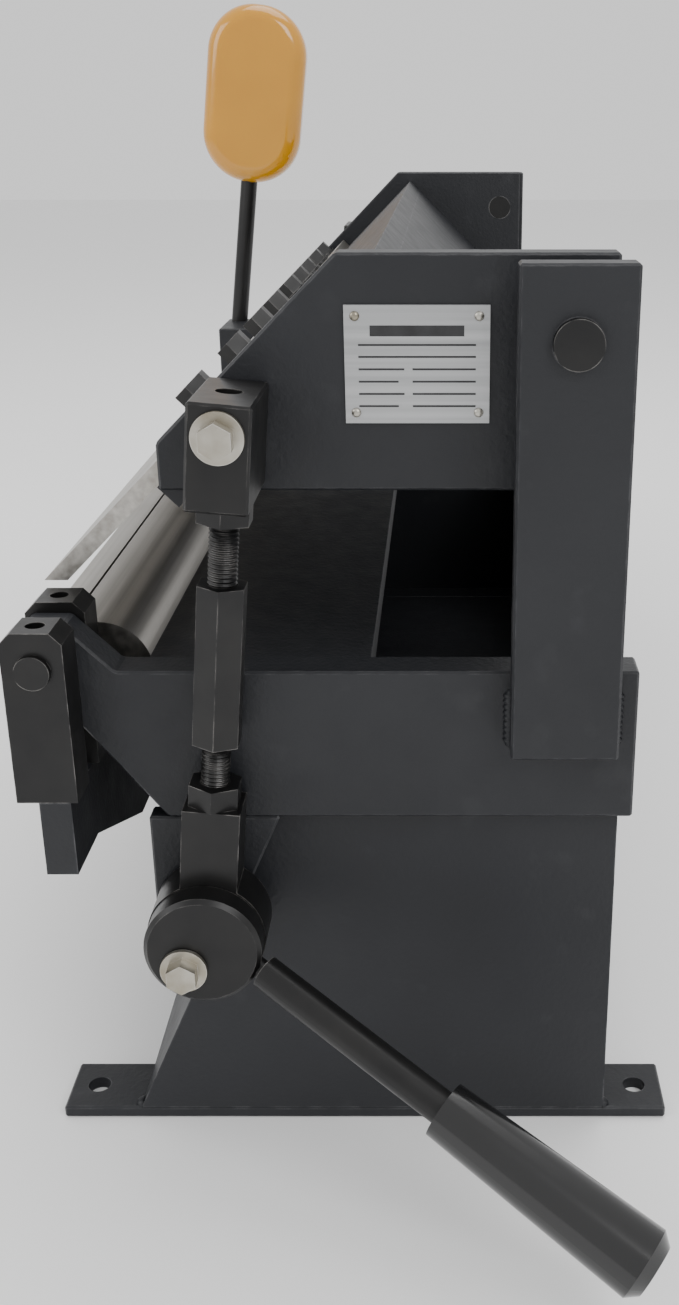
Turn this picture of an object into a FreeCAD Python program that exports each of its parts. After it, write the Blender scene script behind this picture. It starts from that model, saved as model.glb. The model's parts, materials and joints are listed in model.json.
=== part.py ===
import FreeCAD, Part
import math
import os

os.makedirs("parts", exist_ok=True)

# Pan and box brake. Frame: X along the bending line, -Y towards the operator,
# +Z up, origin on the ground midway between the two foot bars. Millimetres.

# ---- driving dimensions -------------------------------------------------
BEND_WIDTH = 610.0        # length of the bed edge and of the finger row
RUN_GAP = 0.3             # side clearance between parts that move past each other
FIT = 0.05                # radial running clearance of pins and bolts
EDGE_EASE = 0.8           # chamfer that takes the sharpness off cut plates
BOLT_R = 4.0              # shank of the linkage bolts
BOLT_AF = 10.0            # heads of the linkage bolts, across flats
BOLT_HEAD = 5.5
WASHER_R = 8.2
WASHER_THICK = 1.6

# feet and base
FOOT_LENGTH = 240.0
FOOT_WIDTH = 28.0
FOOT_THICK = 5.0
FOOT_HOLE_R = 4.5
FOOT_HOLE_INSET = 11.0    # hole centre from each end of the foot bar
BASE_WALL = 6.0
BASE_FRONT_BOTTOM = -89.0
BASE_FRONT_TOP = -29.0
BASE_REAR = 95.0
BASE_TOP = 140.0

# frame side plates
LOWER_THICK = 15.0
LOWER_TOP = 196.0
LOWER_REAR = 99.0
CHIN_Y = -67.0            # where the front lower diagonal meets the bottom edge
NOSE_UP = 10.0            # side plate nose above and in front of the hinge axis
NOSE_DOWN = 2.0           # diagonal's upper end, below the hinge axis
NOSE_BACK = 6.5           # flat of the nose behind the hinge axis
NOSE_CORNER = 3.0
UPPER_THICK = 12.0
UPPER_BOTTOM = 257.0
UPPER_TOP = 334.0
UPPER_REAR = 88.0
UPPER_NOSE_Y = -64.0
UPPER_SHOULDER_Y = -3.0
UPPER_BESIDE = 9.0        # upper plate's inner face beyond the end of the finger row

NAMEPLATE_Y = -0.5
NAMEPLATE_Z = 280.0
NAMEPLATE_WIDE = 47.0
NAMEPLATE_TALL = 38.0
NAMEPLATE_THICK = 1.0

# rear posts and beam pivot
POST_THICK = 12.0
POST_WIDTH = 37.0
POST_BOTTOM = 168.0
POST_TOP = 333.0
PIVOT_Y = 73.0
PIVOT_Z = 309.0
PIVOT_R = 8.0
PIVOT_PROUD = 3.0
SPACER_R = 14.0

# bed
HINGE_Y = -104.5
HINGE_Z = 202.5
HINGE_R = 6.0
LINE_GAP = 0.5            # bed edge and leaf face, each from the hinge axis
BED_BAR_DEPTH = 28.0
BED_BAR_HEIGHT = 36.0
BED_FLAT = 9.0            # flat working edge before the rounded back of the bar
BED_CROWN = 3.9           # rise of that rounded back above its chord
DECK_DROP = 13.0          # deck surface below the bed edge
DECK_REAR = 5.0
DECK_THICK = 12.0
BEARER_THICK = 12.0
BEARER_UP = 2.0           # bearer's underside above the base

# bending leaf
LUG_THICK = 16.0
LUG_SIDE_GAP = 1.0        # inner lugs to the ends of the bed and leaf bars
LUG_HEIGHT_ABOVE = 13.5
LUG_HEIGHT_BELOW = 48.5
LUG_HALF = 10.5
LUG_CHAMFER = 4.0
OIL_HOLE_R = 3.3
HINGE_PROUD = 2.0
LEAF_THICK = 9.0
LEAF_HEIGHT = 48.5
WEB_THICK = 11.0
WEB_BOTTOM = 126.0
WEB_DEEPER = 28.0         # how much deeper the web is away from its ends
WEB_SHALLOW_END = 30.0
WEB_TAPER = 70.0
WEB_FRONT = -107.5

# fingers and beam
FINGER_WIDTHS = (76.2, 127.0, 38.1, 101.6, 50.8, 50.8, 50.8, 76.2)  # the last one fills the row
FINGER_THICK = 6.0
FINGER_TIP_Y = -112.0
FINGER_TIP_Z = 218.5
FINGER_LENGTH = 96.0
FINGER_GAP = 0.3          # gap between neighbouring fingers
FINGER_BOLT_UP = 80.0     # bolt centre from the finger's tip, along the slope
FINGER_BOLT_AF = 13.0
FINGER_BOLT_HEAD = 8.0
FINGER_WASHER_R = 8.0
FINGER_WASHER_THICK = 2.0
BEAM_PLATE_THICK = 10.0
BEAM_APEX_Y = 6.0
BEAM_SKIRT = 2.0          # front plate's lower edge below the upper side plates
BEAM_REAR_UP = 4.0        # rear plate's lower edge above their underside

# clamp linkage
STUD_R = 5.0
ROD_SIDE_GAP = 1.2        # lock nut's corner to the lower side plate
NUT_AF = 17.0
NUT_HIGH = 8.0
COUPLING_AF = 15.5
COUPLING_START = 72.0     # coupling's lower end above the eccentric's centre
COUPLING_LENGTH = 57.0
STUD_IN_COUPLING = 20.0
CLEVIS_DEPTH = 20.0
CLEVIS_HEIGHT = 34.0
CLEVIS_OVER = 10.0        # clevis above its bolt
CLEVIS_SIDE_GAP = 1.0
CLEVIS_SOCKET = 20.0
CLEVIS_Y = -36.0
CLEVIS_Z = 284.5
TOP_HOLE_R = 4.3
TOP_HOLE_DEEP = 4.0
ECC_PIVOT_Y = -59.0
ECC_PIVOT_Z = 96.5
ECC_OFFSET = 9.3
ECC_CORE_R = 16.0
ECC_DISC_R = 20.6
ECC_DISC_THICK = 10.0
ECC_RIM_CHAMFER = 1.5
STRAP_R = 21.0
STRAP_THICK = 18.0
STRAP_TOP = 49.0          # top of the strap's block above the eccentric's centre
STRAP_SOCKET = 18.0
BRACKET_FRONT = 15.0      # bracket in front of and below the eccentric's pivot
BRACKET_LAP = 2.0         # bracket over the base's sloping edge

# clamp levers
LEVER_OUT = 75.0
LEVER_END_Y = 99.0
LEVER_END_Z = 30.0
LEVER_R = 6.0
NECK_R = 3.5
NECK_SINK = 3.5           # neck inside the eccentric's rim
NECK_LENGTH = 7.5
LEVER_OFF_RIM = 3.0
GRIP_LENGTH = 84.0
GRIP_R = 10.0
GRIP_END_R = 12.5
GRIP_CAP = 4.0
GRIP_CAP_R = 9.0
GRIP_WALL = 12.0          # solid end of the grip beyond the lever

# bending handle, on the left-hand end of the leaf
HANDLE_OUT = 32.4         # rod axis beyond the end of the leaf
HANDLE_FRONT = 22.0       # rod axis in front of the lug
HANDLE_ROD_R = 6.5
HANDLE_LENGTH = 121.0
HANDLE_LEAN = 7.0         # degrees towards the rear
SOCKET_SIDE = 9.0
SOCKET_DEPTH = 32.0
SOCKET_BELOW = 24.0
SOCKET_SINK = 10.0        # rod inside its socket
GUARD_WIDE = 76.0
GUARD_DEEP = 30.0
GUARD_TALL = 129.0
GUARD_SOCKET = 12.0       # rod inside the grip
GUARD_END_FLAT = 2.0
GUARD_SIDE_FLAT = 3.0

# ---- values that follow ---------------------------------------------------
HALF = BEND_WIDTH / 2.0
SLOPE = math.sqrt(0.5)    # sine and cosine of the fingers' 45 degrees
INNER_LUG_X = HALF + LUG_SIDE_GAP
LOWER_IN = INNER_LUG_X + LUG_THICK + RUN_GAP
LOWER_OUT = LOWER_IN + LOWER_THICK
OUTER_LUG_X = LOWER_OUT + RUN_GAP
LEAF_END_X = OUTER_LUG_X + LUG_THICK
HANDLE_X = -LEAF_END_X - HANDLE_OUT
UPPER_IN = HALF + UPPER_BESIDE
UPPER_OUT = UPPER_IN + UPPER_THICK
BASE_OUT = LOWER_IN + BASE_WALL
BED_BACK = HINGE_Y + LINE_GAP + BED_BAR_DEPTH
ROD_X = LOWER_OUT + ROD_SIDE_GAP + NUT_AF / math.sqrt(3.0)
ECC_Y = ECC_PIVOT_Y + ECC_OFFSET * SLOPE
ECC_Z = ECC_PIVOT_Z + ECC_OFFSET * SLOPE
ROD_LEAN = math.atan2(CLEVIS_Y - ECC_Y, CLEVIS_Z - ECC_Z)
ROD_REACH = math.hypot(CLEVIS_Y - ECC_Y, CLEVIS_Z - ECC_Z)
CLEVIS_START = ROD_REACH - CLEVIS_HEIGHT + CLEVIS_OVER
CLEVIS_HALF = ROD_X - UPPER_OUT - CLEVIS_SIDE_GAP
STRAP_X0 = ROD_X - STRAP_THICK / 2.0
STRAP_X1 = ROD_X + STRAP_THICK / 2.0
DISC_X0 = STRAP_X1 + RUN_GAP
DISC_X1 = DISC_X0 + ECC_DISC_THICK


def vec(x, y, z):
    return FreeCAD.Vector(x, y, z)


X_AXIS = vec(1, 0, 0)
Z_AXIS = vec(0, 0, 1)
ROD_DIR = vec(0, math.sin(ROD_LEAN), math.cos(ROD_LEAN))
LEAN = math.radians(HANDLE_LEAN)
HANDLE_DIR = vec(0, math.sin(LEAN), math.cos(LEAN))
HANDLE_FOOT = vec(HANDLE_X, HINGE_Y - LUG_HALF - HANDLE_FRONT, HINGE_Z + LUG_HEIGHT_ABOVE)
LEVER_X = (DISC_X0 + DISC_X1) / 2.0
LEVER_END = vec(LEVER_X + LEVER_OUT, LEVER_END_Y, LEVER_END_Z)
RIM_TURN = math.atan2(LEVER_END_Z - ECC_Z, LEVER_END_Y - ECC_Y)
LEVER_ROOT = vec(LEVER_X, ECC_Y + ECC_DISC_R * math.cos(RIM_TURN),
                 ECC_Z + ECC_DISC_R * math.sin(RIM_TURN))
LEVER_DIR = (LEVER_END - LEVER_ROOT).normalize()


def box(x0, x1, y0, y1, z0, z1):
    return Part.makeBox(x1 - x0, y1 - y0, z1 - z0, vec(x0, y0, z0))


def plate(x0, x1, outline):
    """A plate between x0 and x1 whose outline is given as (y, z) corners."""
    corners = [vec(x0, y, z) for y, z in outline]
    wire = Part.makePolygon(corners + corners[:1])
    return Part.Face(wire).extrude(vec(x1 - x0, 0, 0))


def eased(body):
    return body.makeChamfer(EDGE_EASE, body.Edges)


def rod_x(x0, x1, y, z, r):
    return Part.makeCylinder(r, x1 - x0, vec(x0, y, z), X_AXIS)


def hexagon(start, along, flats, length):
    """A hexagonal bar from start in the direction along."""
    r = flats / math.sqrt(3.0)
    turns = [math.pi * k / 3 for k in range(6)]
    corners = [vec(r * math.cos(t), r * math.sin(t), 0) for t in turns]
    bar = Part.Face(Part.makePolygon(corners + corners[:1])).extrude(vec(0, 0, length))
    bar.Placement = FreeCAD.Placement(start, FreeCAD.Rotation(Z_AXIS, along))
    return bar


def mirrored(shape):
    return shape.mirror(vec(0, 0, 0), X_AXIS)


def save(name, *shapes):
    shape = shapes[0] if len(shapes) == 1 else Part.makeCompound(list(shapes))
    shape.exportStep("parts/" + name + ".step")


def save_both_ends(name, *shapes):
    """Identical pieces at the two ends of the machine, kept in one node."""
    save(name, *shapes, *[mirrored(s) for s in shapes])


def save_pair(name, *shapes):
    save("right_" + name, *shapes)
    save("left_" + name, *[mirrored(s) for s in shapes])


# ---- base -------------------------------------------------------------------
def base_front(z):
    """Y of the base's sloping front at height z."""
    run = BASE_FRONT_TOP - BASE_FRONT_BOTTOM
    return BASE_FRONT_BOTTOM + run * (z - FOOT_THICK) / (BASE_TOP - FOOT_THICK)


def foot_bar():
    y = FOOT_LENGTH / 2.0
    bar = eased(box(BASE_OUT - FOOT_WIDTH, BASE_OUT, -y, y, 0, FOOT_THICK))
    for side in (-1, 1):
        at = vec(BASE_OUT - FOOT_WIDTH / 2.0, side * (y - FOOT_HOLE_INSET), 0)
        bar = bar.cut(Part.makeCylinder(FOOT_HOLE_R, FOOT_THICK, at))
    return bar


def base_tray():
    """Floor of the base between the foot bars."""
    x = BASE_OUT - FOOT_WIDTH
    return box(-x, x, BASE_FRONT_BOTTOM, BASE_REAR, 0, FOOT_THICK)


def base_side():
    outline = [(BASE_FRONT_BOTTOM, FOOT_THICK), (BASE_REAR, FOOT_THICK),
               (BASE_REAR, BASE_TOP), (BASE_FRONT_TOP, BASE_TOP)]
    return plate(LOWER_IN, BASE_OUT, outline)


def base_rear_panel():
    return box(-LOWER_IN, LOWER_IN, BASE_REAR - BASE_WALL, BASE_REAR, FOOT_THICK, BASE_TOP)


def base_front_panel():
    slope = (BASE_FRONT_TOP - BASE_FRONT_BOTTOM) / (BASE_TOP - FOOT_THICK)
    back = BASE_WALL * math.sqrt(1 + slope * slope)
    outline = [(BASE_FRONT_BOTTOM, FOOT_THICK), (BASE_FRONT_BOTTOM + back, FOOT_THICK),
               (BASE_FRONT_TOP + back, BASE_TOP), (BASE_FRONT_TOP, BASE_TOP)]
    return plate(-LOWER_IN, LOWER_IN, outline)


# ---- lower frame --------------------------------------------------------------
def lower_side():
    front = HINGE_Y - NOSE_UP
    top = HINGE_Z + NOSE_UP
    back = HINGE_Y + NOSE_BACK
    outline = [(front, HINGE_Z - NOSE_DOWN), (front, top - NOSE_CORNER), (front + NOSE_CORNER, top),
               (back, top), (back + top - LOWER_TOP, LOWER_TOP),
               (LOWER_REAR, LOWER_TOP), (LOWER_REAR, BASE_TOP), (CHIN_Y, BASE_TOP)]
    body = eased(plate(LOWER_IN, LOWER_OUT, outline))
    return body.cut(rod_x(LOWER_IN, LOWER_OUT, HINGE_Y, HINGE_Z, HINGE_R + FIT))


def rear_post():
    half = POST_WIDTH / 2.0
    x1 = LOWER_OUT + POST_THICK
    body = eased(box(LOWER_OUT, x1, PIVOT_Y - half, PIVOT_Y + half, POST_BOTTOM, POST_TOP))
    return body.cut(rod_x(LOWER_OUT, x1, PIVOT_Y, PIVOT_Z, PIVOT_R + FIT))


def pivot_pin():
    return rod_x(UPPER_IN, LOWER_OUT + POST_THICK + PIVOT_PROUD, PIVOT_Y, PIVOT_Z, PIVOT_R)


def pivot_spacer():
    ring = rod_x(UPPER_OUT + RUN_GAP, LOWER_OUT, PIVOT_Y, PIVOT_Z, SPACER_R)
    return ring.cut(rod_x(UPPER_OUT, LOWER_OUT, PIVOT_Y, PIVOT_Z, PIVOT_R + FIT))


def bed_bar():
    """Ground bar with a flat front edge and a rounded back."""
    y0 = HINGE_Y + LINE_GAP
    low = HINGE_Z - BED_BAR_HEIGHT
    flat_end = vec(-HALF, y0 + BED_FLAT, HINGE_Z)
    back_top = vec(-HALF, BED_BACK, HINGE_Z - DECK_DROP)
    chord = (back_top - flat_end).normalize()
    crown = (flat_end + back_top) * 0.5 + vec(0, -chord.z, chord.y) * BED_CROWN
    corners = [back_top, vec(-HALF, BED_BACK, low), vec(-HALF, y0, low),
               vec(-HALF, y0, HINGE_Z), flat_end]
    edges = [Part.makeLine(a, b) for a, b in zip(corners, corners[1:])]
    edges.append(Part.Arc(flat_end, crown, back_top).toShape())
    return Part.Face(Part.Wire(edges)).extrude(vec(2 * HALF, 0, 0))


def bed_plate():
    z1 = HINGE_Z - DECK_DROP
    return box(-LOWER_IN, LOWER_IN, BED_BACK, DECK_REAR, z1 - DECK_THICK, z1)


def bed_bearer():
    """Full-width girder under the deck that ties both side plates."""
    z1 = HINGE_Z - DECK_DROP - DECK_THICK
    return box(-LOWER_IN, LOWER_IN, BED_BACK, BED_BACK + BEARER_THICK, BASE_TOP + BEARER_UP, z1)


def clamp_bracket():
    front = ECC_PIVOT_Y - BRACKET_FRONT
    low = ECC_PIVOT_Z - BRACKET_FRONT
    outline = [(front, low), (base_front(low) + BRACKET_LAP, low),
               (BASE_FRONT_TOP + BRACKET_LAP, BASE_TOP), (front, BASE_TOP)]
    body = eased(plate(BASE_OUT, LOWER_OUT, outline))
    return body.cut(rod_x(BASE_OUT, LOWER_OUT, ECC_PIVOT_Y, ECC_PIVOT_Z, BOLT_R + FIT))


# ---- upper beam -----------------------------------------------------------------
def upper_side():
    outline = [(UPPER_SHOULDER_Y, UPPER_TOP), (UPPER_REAR, UPPER_TOP), (UPPER_REAR, UPPER_BOTTOM),
               (UPPER_NOSE_Y, UPPER_BOTTOM),
               (UPPER_NOSE_Y, UPPER_TOP - (UPPER_SHOULDER_Y - UPPER_NOSE_Y))]
    body = eased(plate(UPPER_IN, UPPER_OUT, outline))
    return body.cut(rod_x(UPPER_IN, UPPER_OUT, PIVOT_Y, PIVOT_Z, PIVOT_R + FIT))


def finger_back(z):
    """Y of the fingers' rear face at height z; the beam's front plate lies on it."""
    return FINGER_TIP_Y + (z - FINGER_TIP_Z) + FINGER_THICK / SLOPE


BEAM_APEX_Z = BEAM_APEX_Y - finger_back(0.0)


def beam_front_plate():
    low = UPPER_BOTTOM - BEAM_SKIRT
    across = BEAM_PLATE_THICK * SLOPE
    outline = [(finger_back(low), low), (BEAM_APEX_Y, BEAM_APEX_Z),
               (BEAM_APEX_Y + across, BEAM_APEX_Z - across), (finger_back(low) + across, low - across)]
    return plate(-UPPER_IN, UPPER_IN, outline)


def beam_rear_plate():
    """Second leg of the beam, running down and back from its apex."""
    across = BEAM_PLATE_THICK * SLOPE
    low = UPPER_BOTTOM + BEAM_REAR_UP
    foot = BEAM_APEX_Y + BEAM_APEX_Z - low
    outline = [(BEAM_APEX_Y + across, BEAM_APEX_Z - across), (foot, low), (foot - 2 * across, low),
               (BEAM_APEX_Y, BEAM_APEX_Z - 2 * across)]
    return plate(-UPPER_IN, UPPER_IN, outline)


def nameplate():
    return box(UPPER_OUT, UPPER_OUT + NAMEPLATE_THICK, NAMEPLATE_Y, NAMEPLATE_Y + NAMEPLATE_WIDE,
               NAMEPLATE_Z, NAMEPLATE_Z + NAMEPLATE_TALL)


def finger(x0, x1):
    y, z = FINGER_TIP_Y, FINGER_TIP_Z
    top = FINGER_LENGTH * SLOPE
    across = FINGER_THICK * SLOPE
    outline = [(y, z), (y + top, z + top), (y + top + across, z + top - across), (y + 2 * across, z)]
    return plate(x0, x1, outline)


def finger_bolt(x):
    along = FINGER_BOLT_UP * SLOPE
    start = vec(x, FINGER_TIP_Y + along, FINGER_TIP_Z + along)
    normal = vec(0, -SLOPE, SLOPE)
    washer = Part.makeCylinder(FINGER_WASHER_R, FINGER_WASHER_THICK, start, normal)
    head = hexagon(start + normal * FINGER_WASHER_THICK, normal, FINGER_BOLT_AF, FINGER_BOLT_HEAD)
    return washer.fuse(head)


def finger_edges():
    edges = [HALF]
    for width in FINGER_WIDTHS:
        edges.append(edges[-1] - width)
    return edges + [-HALF]


# ---- bending leaf ---------------------------------------------------------------
def leaf_lug(x0):
    x1 = x0 + LUG_THICK
    top = HINGE_Z + LUG_HEIGHT_ABOVE
    body = box(x0, x1, HINGE_Y - LUG_HALF, HINGE_Y + LUG_HALF, HINGE_Z - LUG_HEIGHT_BELOW, top)
    top_edges = [e for e in body.Edges if e.BoundBox.XLength > LUG_THICK / 2 and e.BoundBox.ZMin > HINGE_Z]
    body = body.makeChamfer(LUG_CHAMFER, top_edges)
    body = body.cut(rod_x(x0, x1, HINGE_Y, HINGE_Z, HINGE_R + FIT))
    at = vec((x0 + x1) / 2.0, HINGE_Y, HINGE_Z + HINGE_R)
    return body.cut(Part.makeCylinder(OIL_HOLE_R, LUG_HEIGHT_ABOVE, at))


def hinge_pin():
    return rod_x(INNER_LUG_X, LEAF_END_X + HINGE_PROUD, HINGE_Y, HINGE_Z, HINGE_R)


def leaf_bar():
    y1 = HINGE_Y - LINE_GAP
    return box(-HALF, HALF, y1 - LEAF_THICK, y1, HINGE_Z - LEAF_HEIGHT, HINGE_Z)


def leaf_web():
    x = LEAF_END_X
    top = HINGE_Z - LUG_HEIGHT_BELOW
    deep = WEB_BOTTOM - WEB_DEEPER
    step = x - WEB_SHALLOW_END
    mid = step - WEB_TAPER
    right = [(x, top), (x, WEB_BOTTOM), (step, WEB_BOTTOM), (mid, deep)]
    outline = right + [(-a, z) for a, z in reversed(right)]
    corners = [vec(a, WEB_FRONT, z) for a, z in outline]
    return Part.Face(Part.makePolygon(corners + corners[:1])).extrude(vec(0, WEB_THICK, 0))


def handle_rod():
    start = HANDLE_FOOT - HANDLE_DIR * SOCKET_SINK
    return Part.makeCylinder(HANDLE_ROD_R, SOCKET_SINK + HANDLE_LENGTH, start, HANDLE_DIR)


def handle_socket():
    y1 = HINGE_Y - LUG_HALF
    block = box(HANDLE_X - SOCKET_SIDE, -OUTER_LUG_X, y1 - SOCKET_DEPTH, y1,
                HINGE_Z - SOCKET_BELOW, HINGE_Z + LUG_HEIGHT_ABOVE)
    return eased(block).cut(handle_rod())


def handle_grip():
    """Loop-shaped dipped grip: a flat slab with fully rounded ends and sides."""
    half = GUARD_WIDE / 2.0
    body = Part.makeBox(GUARD_DEEP, GUARD_WIDE, GUARD_TALL, vec(-GUARD_DEEP / 2.0, -half, 0))
    corners = [e for e in body.Edges if e.BoundBox.XLength > GUARD_DEEP / 2.0]
    body = body.makeFillet(half - GUARD_END_FLAT, corners)
    body = body.makeFillet(GUARD_DEEP / 2.0 - GUARD_SIDE_FLAT, body.Edges)
    start = HANDLE_FOOT + HANDLE_DIR * (HANDLE_LENGTH - GUARD_SOCKET)
    body.Placement = FreeCAD.Placement(start, FreeCAD.Rotation(Z_AXIS, HANDLE_DIR))
    return body.cut(handle_rod())


# ---- clamp linkage (right-hand end) ------------------------------------------------
def on_rod(distance):
    """Point on the rod axis, measured up from the eccentric's centre."""
    return vec(ROD_X, ECC_Y, ECC_Z) + ROD_DIR * distance


def tilted_block(width_x, width_y, start, length):
    block = Part.makeBox(width_x, width_y, length, vec(-width_x / 2.0, -width_y / 2.0, 0))
    turn = FreeCAD.Rotation(X_AXIS, -math.degrees(ROD_LEAN))
    block.Placement = FreeCAD.Placement(on_rod(start), turn)
    return block


def bore(r, start, length):
    """Round hole along the rod axis."""
    return Part.makeCylinder(r, length, on_rod(start), ROD_DIR)


def clevis():
    body = eased(tilted_block(2 * CLEVIS_HALF, CLEVIS_DEPTH, CLEVIS_START, CLEVIS_HEIGHT))
    body = body.cut(rod_x(UPPER_OUT, ROD_X + CLEVIS_HALF, CLEVIS_Y, CLEVIS_Z, BOLT_R + FIT))
    body = body.cut(bore(STUD_R + FIT, CLEVIS_START, CLEVIS_SOCKET))
    return body.cut(bore(TOP_HOLE_R, CLEVIS_START + CLEVIS_HEIGHT - TOP_HOLE_DEEP, TOP_HOLE_DEEP))


def strap():
    ring = rod_x(STRAP_X0, STRAP_X1, ECC_Y, ECC_Z, STRAP_R)
    body = ring.fuse(tilted_block(STRAP_THICK, CLEVIS_DEPTH, ECC_CORE_R, STRAP_TOP - ECC_CORE_R))
    body = body.cut(rod_x(STRAP_X0, STRAP_X1, ECC_Y, ECC_Z, ECC_CORE_R + FIT))
    return body.cut(bore(STUD_R + FIT, STRAP_TOP - STRAP_SOCKET, STRAP_SOCKET))


def eccentric():
    core = rod_x(STRAP_X0, DISC_X0, ECC_Y, ECC_Z, ECC_CORE_R)
    disc = rod_x(DISC_X0, DISC_X1, ECC_Y, ECC_Z, ECC_DISC_R)
    rim = [e for e in disc.Edges if e.BoundBox.XMin > LEVER_X]
    body = core.fuse(disc.makeChamfer(ECC_RIM_CHAMFER, rim)).cut(lever_neck())
    return body.cut(rod_x(STRAP_X0, DISC_X1, ECC_PIVOT_Y, ECC_PIVOT_Z, BOLT_R + FIT))


def linkage_bolt(x0, face, y, z):
    """Hexagon bolt with its washer, from x0 out through face."""
    shank = rod_x(x0, face, y, z, BOLT_R)
    washer = rod_x(face, face + WASHER_THICK, y, z, WASHER_R)
    head = hexagon(vec(face + WASHER_THICK, y, z), X_AXIS, BOLT_AF, BOLT_HEAD)
    return shank.fuse(washer).fuse(head)


def pivot_bolt():
    return linkage_bolt(BASE_OUT, DISC_X1 + RUN_GAP, ECC_PIVOT_Y, ECC_PIVOT_Z)


def clevis_bolt():
    return linkage_bolt(UPPER_OUT + RUN_GAP, ROD_X + CLEVIS_HALF, CLEVIS_Y, CLEVIS_Z)


def ring_nut(start):
    return hexagon(on_rod(start), ROD_DIR, NUT_AF, NUT_HIGH).cut(bore(STUD_R + FIT, start, NUT_HIGH))


def coupling():
    bar = hexagon(on_rod(COUPLING_START), ROD_DIR, COUPLING_AF, COUPLING_LENGTH)
    return bar.cut(bore(STUD_R + FIT, COUPLING_START, COUPLING_LENGTH))


def stud(start, end):
    return bore(STUD_R, start, end - start)


def lever_neck():
    return Part.makeCylinder(NECK_R, NECK_LENGTH, LEVER_ROOT - LEVER_DIR * NECK_SINK, LEVER_DIR)


def lever_rod():
    start = LEVER_ROOT + LEVER_DIR * LEVER_OFF_RIM
    length = (LEVER_END - start).Length - GRIP_WALL
    return Part.makeCylinder(LEVER_R, length, start, LEVER_DIR).fuse(lever_neck())


def lever_grip():
    start = LEVER_END - LEVER_DIR * GRIP_LENGTH
    grip = Part.makeCone(GRIP_R, GRIP_END_R, GRIP_LENGTH - GRIP_CAP, start, LEVER_DIR)
    cap = Part.makeCone(GRIP_END_R, GRIP_CAP_R, GRIP_CAP, LEVER_END - LEVER_DIR * GRIP_CAP, LEVER_DIR)
    hole = Part.makeCylinder(LEVER_R, GRIP_LENGTH - GRIP_WALL, start, LEVER_DIR)
    return grip.fuse(cap).cut(hole)


# ---- the nodes ------------------------------------------------------------------
def save_base():
    save_both_ends("foot_bars", foot_bar())
    save("base_tray", base_tray())
    save_both_ends("base_sides", base_side())
    save("base_rear_panel", base_rear_panel())
    save("base_front_panel", base_front_panel())
    save_pair("lower_side_plate", lower_side())
    save_pair("rear_post", rear_post())
    save_pair("pivot_pin", pivot_pin())
    save_both_ends("pivot_spacer_rings", pivot_spacer())
    save_both_ends("clamp_brackets", clamp_bracket())
    save("bed_edge_bar", bed_bar())
    save("bed_plate", bed_plate())
    save("bed_bearer", bed_bearer())
    save_both_ends("eccentric_pivot_bolts", pivot_bolt())


def save_beam():
    save_pair("upper_side_plate", upper_side())
    save("beam_front_plate", beam_front_plate())
    save("beam_rear_plate", beam_rear_plate())
    save("nameplate", nameplate())
    edges = finger_edges()
    inset = FINGER_GAP / 2.0
    bolts = []
    for number, (high, low) in enumerate(zip(edges, edges[1:]), 1):
        save("finger_%d" % number, finger(low + inset, high - inset))
        bolts.append(finger_bolt((low + high) / 2.0))
    save("finger_bolts", *bolts)


def save_leaf():
    save_pair("leaf_outer_lug", leaf_lug(OUTER_LUG_X))
    save_pair("leaf_inner_lug", leaf_lug(INNER_LUG_X))
    save_both_ends("hinge_pins", hinge_pin())
    save("leaf_bar", leaf_bar())
    save("leaf_web", leaf_web())
    save("bending_handle_socket", handle_socket())
    save("bending_handle_rod", handle_rod())
    save("bending_handle_grip", handle_grip())


def save_linkage():
    top = COUPLING_START + COUPLING_LENGTH
    lower = stud(STRAP_TOP - STRAP_SOCKET + RUN_GAP, COUPLING_START + STUD_IN_COUPLING)
    upper = stud(top - STUD_IN_COUPLING, CLEVIS_START + CLEVIS_SOCKET - BOLT_R / 4.0)
    save_pair("link_clevis", clevis())
    save_pair("clevis_bolt", clevis_bolt())
    save_pair("link_studs", lower, upper)
    save_pair("link_lock_nuts", ring_nut(STRAP_TOP), ring_nut(CLEVIS_START - NUT_HIGH))
    save_pair("link_coupling", coupling())
    save_pair("eccentric_strap", strap())
    save_pair("eccentric_disc", eccentric())
    save_pair("lever_rod", lever_rod())
    save_pair("lever_grip", lever_grip())


save_base()
save_beam()
save_leaf()
save_linkage()
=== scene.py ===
import json
import math

import bmesh
import bpy
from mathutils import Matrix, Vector


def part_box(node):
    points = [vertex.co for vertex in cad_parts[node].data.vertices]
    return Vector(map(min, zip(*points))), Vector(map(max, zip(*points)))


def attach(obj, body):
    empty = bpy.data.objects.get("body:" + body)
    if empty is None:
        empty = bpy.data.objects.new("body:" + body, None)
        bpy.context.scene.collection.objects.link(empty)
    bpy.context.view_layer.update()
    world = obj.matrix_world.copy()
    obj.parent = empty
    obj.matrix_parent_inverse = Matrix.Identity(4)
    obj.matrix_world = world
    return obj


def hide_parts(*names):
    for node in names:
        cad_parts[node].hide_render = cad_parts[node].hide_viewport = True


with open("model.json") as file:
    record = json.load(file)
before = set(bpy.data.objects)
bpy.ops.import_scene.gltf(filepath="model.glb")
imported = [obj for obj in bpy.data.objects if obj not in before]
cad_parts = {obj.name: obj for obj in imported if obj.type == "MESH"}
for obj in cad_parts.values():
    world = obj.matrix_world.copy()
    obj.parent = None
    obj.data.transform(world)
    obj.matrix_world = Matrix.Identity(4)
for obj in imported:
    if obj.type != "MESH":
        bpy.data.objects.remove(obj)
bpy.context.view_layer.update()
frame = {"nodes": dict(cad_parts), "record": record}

# ---- camera ------------------------------------------------------------------
IMAGE_WIDE, IMAGE_TALL = 679, 1305
FOCAL = 1390.0            # focal length in units of the image
PITCH = math.radians(21.2)
CENTRE_ACROSS = 445.0     # where the camera's axis meets the image
NEAR_DISTANCE = 0.454     # from the lower side plate to the camera
EYE_HEIGHT = 0.3749
EYE_Y = 0.032


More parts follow.
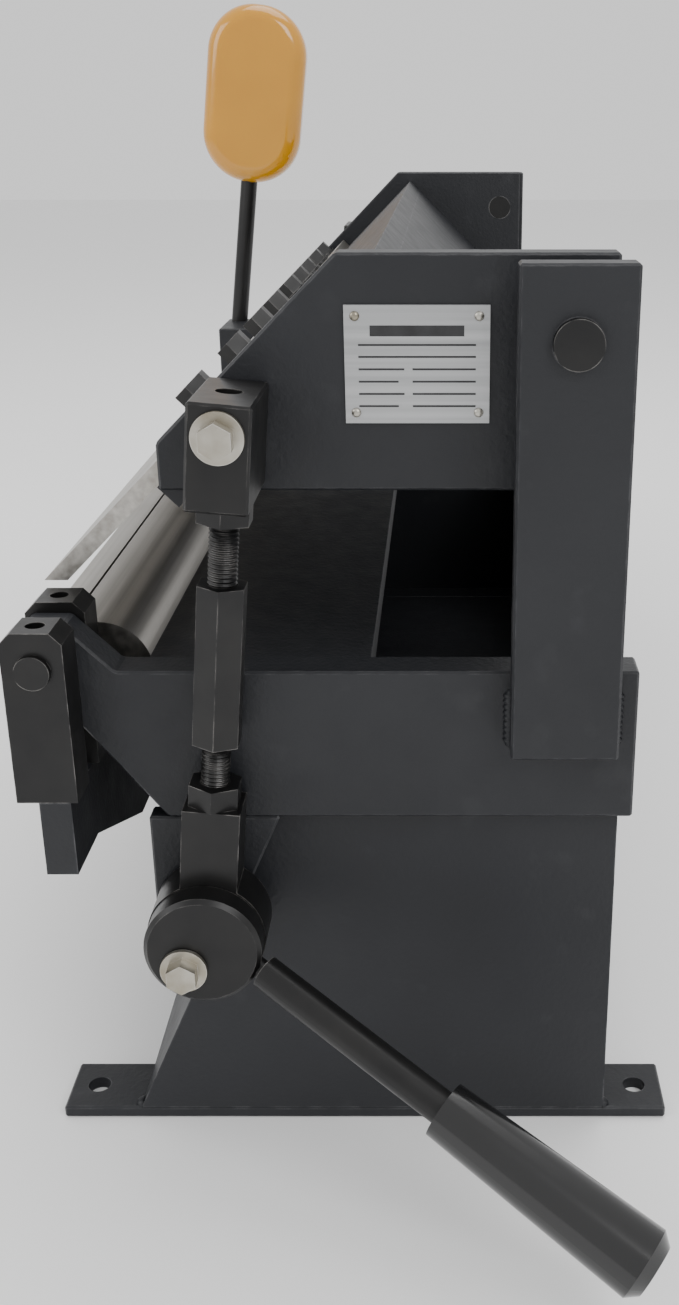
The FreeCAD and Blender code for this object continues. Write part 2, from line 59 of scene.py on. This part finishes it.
def make_camera():
    data = bpy.data.cameras.new("camera")
    data.sensor_fit = "VERTICAL"
    data.sensor_height = 36.0
    data.lens = 36.0 * FOCAL / IMAGE_TALL
    data.shift_x = (IMAGE_WIDE / 2.0 - CENTRE_ACROSS) / IMAGE_TALL
    data.clip_start = 0.01
    camera = bpy.data.objects.new("camera", data)
    plate_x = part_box("right_upper_side_plate")[1][0]
    camera.location = (plate_x + NEAR_DISTANCE, EYE_Y, EYE_HEIGHT)
    look = Vector((-math.cos(PITCH), 0.0, -math.sin(PITCH)))
    camera.rotation_euler = look.to_track_quat("-Z", "Y").to_euler()
    bpy.context.scene.collection.objects.link(camera)
    bpy.context.scene.camera = camera


# ---- stage and light ------------------------------------------------------------
def make_stage():
    bpy.ops.mesh.primitive_plane_add(size=12.0, location=(0, 0, 0))
    floor = bpy.context.object
    floor.name = "floor"
    mat = bpy.data.materials.new("floor")
    mat.use_nodes = True
    shader = mat.node_tree.nodes["Principled BSDF"]
    shader.inputs["Base Color"].default_value = (0.9, 0.9, 0.9, 1)
    shader.inputs["Roughness"].default_value = 0.9
    floor.data.materials.append(mat)


def area_light(name, place, target, size, power):
    data = bpy.data.lights.new(name, "AREA")
    data.size = size
    data.energy = power
    light = bpy.data.objects.new(name, data)
    light.location = place
    light.rotation_euler = (Vector(target) - Vector(place)).to_track_quat("-Z", "Y").to_euler()
    bpy.context.scene.collection.objects.link(light)


def make_light():
    world = bpy.data.worlds.new("world")
    bpy.context.scene.world = world
    world.use_nodes = True
    background = world.node_tree.nodes["Background"]
    background.inputs["Color"].default_value = (1, 1, 1, 1)
    background.inputs["Strength"].default_value = 1.0
    area_light("key", (1.6, 1.0, 1.6), (0.2, 0, 0.2), 1.0, 16)
    area_light("front", (0.8, -1.8, 1.2), (0, 0, 0.2), 1.2, 14)
    area_light("top", (-0.4, 0.2, 2.0), (0, 0, 0.2), 1.4, 18)


# ---- materials --------------------------------------------------------------------
class Surface:
    """A Principled material with helpers for noise, a painted edge highlight and bump."""

    def __init__(self, name, metallic=0.0):
        self.mat = bpy.data.materials.new(name)
        self.mat.use_nodes = True
        self.tree = self.mat.node_tree
        self.shader = self.tree.nodes["Principled BSDF"]
        self.shader.inputs["Metallic"].default_value = metallic
        coords = self.tree.nodes.new("ShaderNodeTexCoord")
        self.place = coords.outputs["Object"]

    def link(self, a, b):
        self.tree.links.new(a, b)

    def noise(self, scale, detail=4.0, stretch=None):
        node = self.tree.nodes.new("ShaderNodeTexNoise")
        node.inputs["Scale"].default_value = scale
        node.inputs["Detail"].default_value = detail
        source = self.place
        if stretch:
            mapping = self.tree.nodes.new("ShaderNodeMapping")
            mapping.inputs["Scale"].default_value = stretch
            self.link(source, mapping.inputs["Vector"])
            source = mapping.outputs["Vector"]
        self.link(source, node.inputs["Vector"])
        return node.outputs["Fac"]

    def ramp(self, source, stops):
        node = self.tree.nodes.new("ShaderNodeValToRGB")
        while len(node.color_ramp.elements) < len(stops):
            node.color_ramp.elements.new(0.5)
        for element, (at, colour) in zip(node.color_ramp.elements, stops):
            element.position = at
            element.color = (*colour, 1)
        self.link(source, node.inputs["Fac"])
        return node.outputs["Color"]

    def mix(self, factor, first, second):
        node = self.tree.nodes.new("ShaderNodeMixRGB")
        self.link(factor, node.inputs["Fac"])
        for value, socket in ((first, node.inputs["Color1"]), (second, node.inputs["Color2"])):
            if isinstance(value, tuple):
                socket.default_value = (*value, 1)
            else:
                self.link(value, socket)
        return node.outputs["Color"]

    def edges(self, radius=0.0012):
        """Painted highlight mask: white along convex and concave edges, broken up by noise, black on open
        faces.
        """
        bevel = self.tree.nodes.new("ShaderNodeBevel")
        bevel.samples = 6
        bevel.inputs["Radius"].default_value = radius
        geometry = self.tree.nodes.new("ShaderNodeNewGeometry")
        dot = self.tree.nodes.new("ShaderNodeVectorMath")
        dot.operation = "DOT_PRODUCT"
        self.link(bevel.outputs["Normal"], dot.inputs[0])
        self.link(geometry.outputs["Normal"], dot.inputs[1])
        # painted highlight: edges turn white here, concave ones as well as convex
        painted_edge_highlight = self.ramp(dot.outputs["Value"], [(0.80, (1, 1, 1)), (0.97, (0, 0, 0))])
        highlight_breakup = self.ramp(self.noise(160.0, 6.0), [(0.42, (0, 0, 0)), (0.62, (1, 1, 1))])
        both = self.tree.nodes.new("ShaderNodeMixRGB")
        both.blend_type = "MULTIPLY"
        both.inputs["Fac"].default_value = 1.0
        self.link(painted_edge_highlight, both.inputs["Color1"])
        self.link(highlight_breakup, both.inputs["Color2"])
        return both.outputs["Color"]

    def rough(self, source, low, high):
        node = self.tree.nodes.new("ShaderNodeMapRange")
        node.inputs["To Min"].default_value = low
        node.inputs["To Max"].default_value = high
        self.link(source, node.inputs["Value"])
        self.link(node.outputs["Result"], self.shader.inputs["Roughness"])

    def bump(self, source, strength, distance):
        node = self.tree.nodes.new("ShaderNodeBump")
        node.inputs["Strength"].default_value = strength
        node.inputs["Distance"].default_value = distance
        self.link(source, node.inputs["Height"])
        self.link(node.outputs["Normal"], self.shader.inputs["Normal"])

    def colour(self, source):
        self.link(source, self.shader.inputs["Base Color"])


def grey_paint():
    s = Surface("grey_paint")
    base = s.ramp(s.noise(9.0, 6.0), [(0.3, (0.0105, 0.0112, 0.0135)), (0.7, (0.0165, 0.0175, 0.0205))])
    dust = s.ramp(s.noise(55.0, 8.0), [(0.60, (0, 0, 0)), (0.85, (0.35, 0.35, 0.35))])
    # the lighter grey along edges is a painted highlight; the dust is the paint's own colour
    s.colour(s.mix(s.edges(), s.mix(dust, base, (0.045, 0.046, 0.050)), (0.10, 0.10, 0.105)))
    s.rough(s.noise(90.0, 5.0), 0.34, 0.56)
    s.bump(s.noise(520.0, 4.0), 0.35, 0.0005)
    s.shader.inputs["Specular IOR Level"].default_value = 0.35
    return s.mat


def ground_steel():
    s = Surface("ground_steel", 1.0)
    grain = s.noise(70.0, 8.0, (0.04, 4.0, 4.0))
    base = s.ramp(grain, [(0.3, (0.30, 0.285, 0.26)), (0.7, (0.52, 0.50, 0.47))])
    stain = s.ramp(s.noise(14.0, 5.0), [(0.50, (0, 0, 0)), (0.80, (0.6, 0.6, 0.6))])
    s.colour(s.mix(stain, base, (0.26, 0.235, 0.20)))
    s.rough(grain, 0.26, 0.48)
    s.bump(grain, 0.18, 0.0002)
    return s.mat


def black_oxide():
    s = Surface("black_oxide", 0.35)
    base = s.ramp(s.noise(40.0, 6.0), [(0.3, (0.005, 0.005, 0.0055)), (0.7, (0.013, 0.0125, 0.012))])
    # the light grey along edges is a painted highlight
    s.colour(s.mix(s.edges(0.0007), base, (0.22, 0.21, 0.20)))
    s.rough(s.noise(110.0, 5.0), 0.26, 0.46)
    s.bump(s.noise(380.0, 4.0), 0.14, 0.0003)
    return s.mat


def zinc_steel():
    s = Surface("zinc_steel", 0.9)
    base = s.ramp(s.noise(60.0, 5.0), [(0.35, (0.30, 0.27, 0.21)), (0.65, (0.50, 0.48, 0.43))])
    # the near-white along edges is a painted highlight
    s.colour(s.mix(s.edges(0.0006), base, (0.70, 0.69, 0.66)))
    s.rough(s.noise(120.0, 4.0), 0.24, 0.44)
    s.bump(s.noise(300.0, 3.0), 0.1, 0.0002)
    return s.mat


def plate_metal():
    s = Surface("plate_metal", 0.7)
    grain = s.noise(60.0, 6.0, (1.0, 0.06, 6.0))
    s.colour(s.ramp(grain, [(0.3, (0.33, 0.335, 0.34)), (0.7, (0.46, 0.465, 0.47))]))
    s.rough(grain, 0.30, 0.46)
    s.bump(grain, 0.1, 0.0001)
    return s.mat


def plate_ink():
    s = Surface("plate_ink")
    s.colour(s.ramp(s.noise(200.0, 4.0), [(0.3, (0.010, 0.010, 0.011)), (0.7, (0.022, 0.022, 0.024))]))
    s.rough(s.noise(150.0, 3.0), 0.40, 0.55)
    s.bump(s.noise(600.0, 2.0), 0.05, 0.0001)
    return s.mat


def black_plastic():
    s = Surface("black_plastic")
    s.colour(s.ramp(s.noise(30.0), [(0.3, (0.0022, 0.0022, 0.0024)), (0.7, (0.0055, 0.0055, 0.006))]))
    s.rough(s.noise(50.0, 5.0), 0.13, 0.27)
    s.bump(s.noise(35.0, 2.0), 0.08, 0.0006)
    s.shader.inputs["Coat Weight"].default_value = 0.3
    return s.mat


def yellow_dip():
    s = Surface("yellow_dip")
    s.colour(s.ramp(s.noise(12.0, 4.0), [(0.3, (0.50, 0.215, 0.002)), (0.7, (0.58, 0.265, 0.005))]))
    s.rough(s.noise(30.0, 4.0), 0.10, 0.22)
    s.bump(s.noise(18.0, 3.0), 0.12, 0.0012)
    s.shader.inputs["Coat Weight"].default_value = 0.7
    s.shader.inputs["Subsurface Weight"].default_value = 0.05
    return s.mat


MAKERS = (grey_paint, ground_steel, black_oxide, zinc_steel, plate_metal, plate_ink,
          black_plastic, yellow_dip)
made = {maker.__name__: maker() for maker in MAKERS}


def dress_nodes():
    for row in frame["record"]["subparts"]:
        for slot in frame["nodes"][row["node"]].material_slots:
            slot.material = made[row["material_slot"]]


# ---- new pieces -----------------------------------------------------------------------
SIDES = ("right", "left")
THREAD_PITCH = 0.0015
THREAD_DEPTH = 0.0006
ROUND_STEPS = 32
WELD_R = 0.0022
WELD_RIPPLE = 0.0005
WELD_STEP = 0.0007
WELD_WAVE = 0.0021        # length of one ripple of the bead
WELD_STEPS_ROUND = 10
RIVET_R = 0.0016
RIVET_INSET = 0.0035
INK_PROUD = 0.00012
INK_LINE = 0.0006
INK_MARGIN = 0.0045


def add_piece(name, bm, material, body, smooth=True):
    """Turn a bmesh into an object that rides on a body."""
    bmesh.ops.recalc_face_normals(bm, faces=bm.faces)
    mesh = bpy.data.meshes.new(name)
    bm.to_mesh(mesh)
    bm.free()
    for face in mesh.polygons:
        face.use_smooth = smooth
    mesh.materials.append(made[material])
    piece = bpy.data.objects.new(name, mesh)
    bpy.context.scene.collection.objects.link(piece)
    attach(piece, body)
    return piece


def lathe(start, end, profile, steps):
    """Closed solid of revolution; profile gives (distance from start, radius) pairs."""
    bm = bmesh.new()
    along = (end - start).normalized()
    side = along.orthogonal().normalized()
    other = along.cross(side)
    rings = []
    for distance, radius in profile:
        ring = []
        for k in range(steps):
            turn = 2 * math.pi * k / steps
            spoke = side * math.cos(turn) + other * math.sin(turn)
            ring.append(bm.verts.new(start + along * distance + spoke * radius))
        rings.append(ring)
    for low, high in zip(rings, rings[1:]):
        for k in range(steps):
            bm.faces.new((low[k], low[k - 1], high[k - 1], high[k]))
    bm.faces.new(rings[0])
    bm.faces.new(rings[-1])
    return bm


def middle(node):
    low, high = (Vector(corner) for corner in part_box(node))
    return (low + high) / 2


def joint_place(name):
    for joint in frame["record"]["behaviour"]["joints"]:
        if joint["name"] == name:
            return Vector(joint["pos_m"])
    raise KeyError(name)


def make_threads():
    for side in SIDES:
        low, high = (Vector(corner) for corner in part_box(side + "_link_studs"))
        radius = (high.x - low.x) / 2
        foot = joint_place(side + "_link_turn")
        bolt = middle(side + "_clevis_bolt")
        up = Vector((0, bolt.y - foot.y, bolt.z - foot.z)).normalized()
        axis_x = (low.x + high.x) / 2
        tip = radius * abs(up.y)
        start_z, end_z = low.z + tip, high.z - tip
        start = Vector((axis_x, foot.y + up.y / up.z * (start_z - foot.z), start_z))
        end = Vector((axis_x, foot.y + up.y / up.z * (end_z - foot.z), end_z))
        turns = int((end - start).length / THREAD_PITCH)
        profile = []
        for k in range(turns):
            profile.append((k * THREAD_PITCH, radius - THREAD_DEPTH))
            profile.append(((k + 0.5) * THREAD_PITCH, radius))
        bm = lathe(start, end, profile, ROUND_STEPS)
        piece = add_piece(side + "_stud_threads", bm, "black_oxide", side + "_link", False)
        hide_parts(side + "_link_studs")


def weld(name, start, end, body):
    """Rippled bead of weld metal along a straight joint."""
    length = (end - start).length
    count = int(length / WELD_STEP)
    profile = []
    for k in range(count + 1):
        at = length * k / count
        fade = min(1.0, min(at, length - at) / WELD_R + 0.3)
        ripple = WELD_RIPPLE * math.sin(2 * math.pi * at / WELD_WAVE)
        profile.append((at, (WELD_R + ripple) * fade))
    add_piece(name, lathe(start, end, profile, WELD_STEPS_ROUND), "grey_paint", body)


def make_welds():
    for side, sign in (("right", 1), ("left", -1)):
        low, high = (Vector(corner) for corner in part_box(side + "_rear_post"))
        plate_low, plate_high = (Vector(corner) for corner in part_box(side + "_lower_side_plate"))
        face = plate_high.x if sign > 0 else plate_low.x
        for name, y in (("front", low.y), ("back", high.y)):
            foot, crown = Vector((face, y, low.z)), Vector((face, y, plate_high.z))
            crown.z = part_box("bed_plate")[1][2]
            weld("%s_post_weld_%s" % (side, name), foot, crown, "frame")
        weld(side + "_post_weld_foot", Vector((face, low.y, low.z)), Vector((face, high.y, low.z)), "frame")
        base_low, base_high = (Vector(corner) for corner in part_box("base_rear_panel"))
        wall = base_high.x if sign > 0 else base_low.x
        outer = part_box("foot_bars")[1][0] * sign
        foot_top = base_low.z
        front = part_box("base_front_panel")[0][1]
        weld(side + "_foot_weld_front", Vector((wall, front, foot_top)),
             Vector((outer, front, foot_top)), "frame")
        weld(side + "_foot_weld_back", Vector((wall, base_high.y, foot_top)),
             Vector((outer, base_high.y, foot_top)), "frame")


def ink_bar(bm, x, y0, y1, z0, z1):
    corners = [bm.verts.new((a, y, z)) for a in (x, x + INK_PROUD) for y in (y0, y1) for z in (z0, z1)]
    for face in ((0, 1, 3, 2), (4, 6, 7, 5), (0, 4, 5, 1), (2, 3, 7, 6), (0, 2, 6, 4), (1, 5, 7, 3)):
        bm.faces.new([corners[k] for k in face])


def make_nameplate_details():
    low, high = (Vector(corner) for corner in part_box("nameplate"))
    face = high.x
    number = 0
    for y in (low.y + RIVET_INSET, high.y - RIVET_INSET):
        for z in (low.z + RIVET_INSET, high.z - RIVET_INSET):
            number += 1
            arc = [(RIVET_R * 0.7 * math.sin(t * math.pi / 16), RIVET_R * math.cos(t * math.pi / 16))
                   for t in range(8)]
            start = Vector((face, y, z))
            bm = lathe(start, start + Vector((1, 0, 0)), arc, ROUND_STEPS)
            add_piece("nameplate_rivet_%d" % number, bm, "zinc_steel", "beam")
    bm = bmesh.new()
    y0, y1 = low.y + INK_MARGIN, high.y - INK_MARGIN
    tall = high.z - low.z
    ink_bar(bm, face, y0, y1, low.z + tall * 0.66, low.z + tall * 0.66 + INK_LINE)
    ink_bar(bm, face, y0, y1, low.z + tall * 0.56, low.z + tall * 0.56 + INK_LINE)
    rows = 4
    for row in range(rows):
        z = low.z + tall * (0.14 + 0.105 * row)
        ink_bar(bm, face, y0, y0 + (y1 - y0) * (0.34 + 0.05 * (row % 2)), z, z + INK_LINE)
        ink_bar(bm, face, y0 + (y1 - y0) * 0.46, y1, z, z + INK_LINE)
    band = low.z + tall * 0.74
    ink_bar(bm, face, y0 + (y1 - y0) * 0.1, y1 - (y1 - y0) * 0.1, band, band + tall * 0.09)
    add_piece("nameplate_print", bm, "plate_ink", "beam", False)


make_camera()
make_stage()
make_light()
dress_nodes()
make_threads()
make_welds()
make_nameplate_details()
